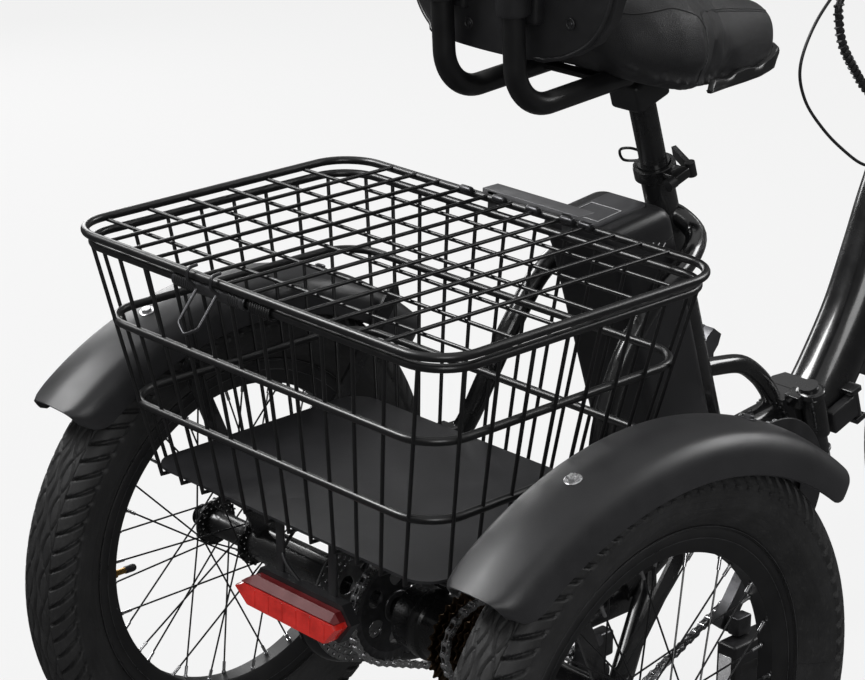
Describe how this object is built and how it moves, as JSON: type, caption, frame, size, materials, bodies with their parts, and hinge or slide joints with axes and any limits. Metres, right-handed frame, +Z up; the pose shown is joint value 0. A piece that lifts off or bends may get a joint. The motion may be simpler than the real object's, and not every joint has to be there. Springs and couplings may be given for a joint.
{
  "type": "adult tricycle",
  "caption": "Folding three-wheeled adult cycle with a lidded wire cargo basket between the rear wheels, battery on the seat tube, padded saddle and backrest.",
  "frame": {"origin": "on the ground, in the mid-plane, at the middle of the length: the bottom centre of the bounding box, 0.535 m ahead of the rear axle", "axes": "+Z up, +Y forward (direction of travel), +X to the rider's right"},
  "size_m": [0.758, 1.634, 1.14],
  "materials": {
    "frame_paint": "gloss black powder coat",
    "gloss_rod": "gloss black coated steel rod and wire",
    "floor_sheet": "satin black sheet",
    "fender_plastic": "matt dark grey moulded plastic",
    "black_plastic": "satin black moulded plastic",
    "rim_black": "matt black anodised rim",
    "hub_black": "black hub and axle parts",
    "tyre_rubber": "black tyre rubber",
    "steel": "plated chain steel",
    "dark_steel": "dark plated steel",
    "bronze_steel": "bronze-coloured cogs",
    "red_lens": "clear red lens",
    "lamp_lens": "clear lamp with a black body",
    "leather": "black grained synthetic leather",
    "grip_rubber": "ribbed black rubber",
    "battery_shell": "fine-textured black case",
    "display_gloss": "gloss black display face"
  },
  "bodies": {
    "frame": {"rear_frame": "frame_paint", "axle_center_housing": "hub_black", "basket": "gloss_rod", "basket_floor": "floor_sheet", "lid_hinge_plate": "frame_paint", "tail_light_housing": "black_plastic", "tail_light_lens": "red_lens", "fender_left": "fender_plastic", "fender_right": "fender_plastic", "brake_caliper": "hub_black", "drive_motor": "hub_black", "derailleur_body": "dark_steel", "derailleur_cage": "dark_steel", "pedal_chain": "steel", "motor_chain": "steel", "seat_collar": "hub_black", "battery_dock": "black_plastic"},
    "battery": {"battery_case": "battery_shell"},
    "seat_qr": {"seat_qr_lever": "black_plastic"},
    "front": {"front_frame": "frame_paint"},
    "fold_latch": {"fold_latch_lever": "black_plastic"},
    "lid": {"basket_lid": "gloss_rod"},
    "latch": {"lid_latch": "dark_steel"},
    "left_wheel": {"hub_left": "hub_black", "rim_left": "rim_black", "tyre_left": "tyre_rubber", "brake_rotor": "dark_steel", "axle_sprocket": "dark_steel"},
    "right_wheel": {"hub_right": "hub_black", "rim_right": "rim_black", "tyre_right": "tyre_rubber"},
    "crank": {"crankset": "dark_steel"},
    "pedal_block_r": {"pedal_block_right": "dark_steel"},
    "pedal_block_l": {"pedal_block_left": "dark_steel"},
    "pedal_r": {"pedal_right": "black_plastic"},
    "pedal_l": {"pedal_left": "black_plastic"},
    "freewheel": {"freewheel": "bronze_steel"},
    "motor_gear": {"motor_sprocket": "dark_steel"},
    "steer": {"fork": "frame_paint", "fender_front": "fender_plastic", "headlight": "lamp_lens", "stem_base": "frame_paint"},
    "front_wheel": {"hub_front": "hub_black", "rim_front": "rim_black", "tyre_front": "tyre_rubber"},
    "stem_latch": {"stem_latch": "dark_steel"},
    "stem": {"stem_riser": "frame_paint", "handlebar": "frame_paint", "grip_left": "grip_rubber", "grip_right": "grip_rubber", "display_unit": "display_gloss"},
    "brake_r": {"brake_lever_right": "dark_steel"},
    "brake_l": {"brake_lever_left": "dark_steel"},
    "throttle": {"throttle_lever": "black_plastic"},
    "seat": {"seat_post": "hub_black", "saddle_base": "black_plastic", "saddle_cushion": "leather", "backrest_frame": "gloss_rod"},
    "backrest": {"backrest_shell": "black_plastic", "backrest_pad": "leather"}
  },
  "joints": [
    {"name": "battery_slide", "type": "slide", "parent": "frame", "child": "battery", "axis": [0, -0.309, 0.9511], "range_m": [0, 0.08]},
    {"name": "seat_qr_hinge", "type": "hinge", "parent": "frame", "child": "seat_qr", "pos_m": [0.036, -0.17544, 0.72038], "axis": [0, 0.309, -0.9511], "range_deg": [0, 110]},
    {"name": "frame_fold", "type": "hinge", "parent": "frame", "child": "front", "pos_m": [0.042, 0.063, 0.363], "axis": [0, 0.309, -0.9511], "range_deg": [0, 66]},
    {"name": "fold_latch_hinge", "type": "hinge", "parent": "front", "child": "fold_latch", "pos_m": [0.045, 0.13443, 0.36644], "axis": [0, -0.309, 0.9511], "range_deg": [0, 80]},
    {"name": "lid_hinge", "type": "hinge", "parent": "frame", "child": "lid", "pos_m": [0, -0.378, 0.704], "axis": [-1, 0, 0], "range_deg": [0, 45]},
    {"name": "lid_latch_hinge", "type": "hinge", "parent": "frame", "child": "latch", "pos_m": [0, -0.765, 0.691], "axis": [1, 0, 0], "range_deg": [0, 30]},
    {"name": "left_wheel_spin", "type": "hinge", "parent": "frame", "child": "left_wheel", "pos_m": [-0.317, -0.535, 0.282], "axis": [1, 0, 0], "continuous": true},
    {"name": "right_wheel_spin", "type": "hinge", "parent": "frame", "child": "right_wheel", "pos_m": [0.317, -0.535, 0.282], "axis": [1, 0, 0], "continuous": true},
    {"name": "crank_spin", "type": "hinge", "parent": "frame", "child": "crank", "pos_m": [0, -0.0632, 0.315], "axis": [1, 0, 0], "continuous": true},
    {"name": "pedal_right_spin", "type": "hinge", "parent": "crank", "child": "pedal_block_r", "pos_m": [0.1205, -0.15498, 0.19384], "axis": [1, 0, 0], "continuous": true},
    {"name": "pedal_left_spin", "type": "hinge", "parent": "crank", "child": "pedal_block_l", "pos_m": [-0.1205, 0.02858, 0.43616], "axis": [1, 0, 0], "continuous": true},
    {"name": "pedal_right_fold", "type": "hinge", "parent": "pedal_block_r", "child": "pedal_r", "pos_m": [0.1275, -0.15498, 0.18184], "axis": [0, -1, 0], "range_deg": [0, 90]},
    {"name": "pedal_left_fold", "type": "hinge", "parent": "pedal_block_l", "child": "pedal_l", "pos_m": [-0.1275, 0.02858, 0.42416], "axis": [0, 1, 0], "range_deg": [0, 90]},
    {"name": "freewheel_spin", "type": "hinge", "parent": "frame", "child": "freewheel", "pos_m": [0.075, -0.535, 0.282], "axis": [1, 0, 0], "continuous": true},
    {"name": "motor_gear_spin", "type": "hinge", "parent": "frame", "child": "motor_gear", "pos_m": [-0.048, -0.405, 0.19], "axis": [1, 0, 0], "continuous": true},
    {"name": "steering", "type": "hinge", "parent": "front", "child": "steer", "pos_m": [0, 0.345, 0.66], "axis": [0, -0.342, 0.9397], "range_deg": [-45, 45]},
    {"name": "front_wheel_spin", "type": "hinge", "parent": "steer", "child": "front_wheel", "pos_m": [0, 0.535, 0.282], "axis": [1, 0, 0], "continuous": true},
    {"name": "stem_latch_hinge", "type": "hinge", "parent": "steer", "child": "stem_latch", "pos_m": [0, 0.26115, 0.79975], "axis": [1, 0, 0], "range_deg": [0, 90]},
    {"name": "stem_fold", "type": "hinge", "parent": "steer", "child": "stem", "pos_m": [0, 0.31304, 0.83992], "axis": [-1, 0, 0], "range_deg": [0, 95]},
    {"name": "brake_right_pull", "type": "hinge", "parent": "stem", "child": "brake_r", "pos_m": [0.24581, 0.18567, 1.09638], "axis": [-0.1084, 0.053, -0.9927], "range_deg": [0, 6]},
    {"name": "brake_left_pull", "type": "hinge", "parent": "stem", "child": "brake_l", "pos_m": [-0.24581, 0.18567, 1.09638], "axis": [-0.1084, -0.053, 0.9927], "range_deg": [0, 6]},
    {"name": "throttle_push", "type": "hinge", "parent": "stem", "child": "throttle", "pos_m": [0.24157, 0.15213, 1.09505], "axis": [0.8919, -0.4359, -0.1207], "range_deg": [0, 35]},
    {"name": "seat_height", "type": "slide", "parent": "frame", "child": "seat", "axis": [0, -0.309, 0.9511], "range_m": [-0.04, 0.06]},
    {"name": "backrest_height", "type": "slide", "parent": "seat", "child": "backrest", "axis": [0, -0.0679, 0.9977], "range_m": [-0.01, 0.035]}
  ],
  "couplings": [
    {"joint": "freewheel_spin", "follows": "crank_spin", "ratio": 1.8681},
    {"joint": "motor_gear_spin", "follows": "left_wheel_spin", "ratio": 2.4453}
  ]
}
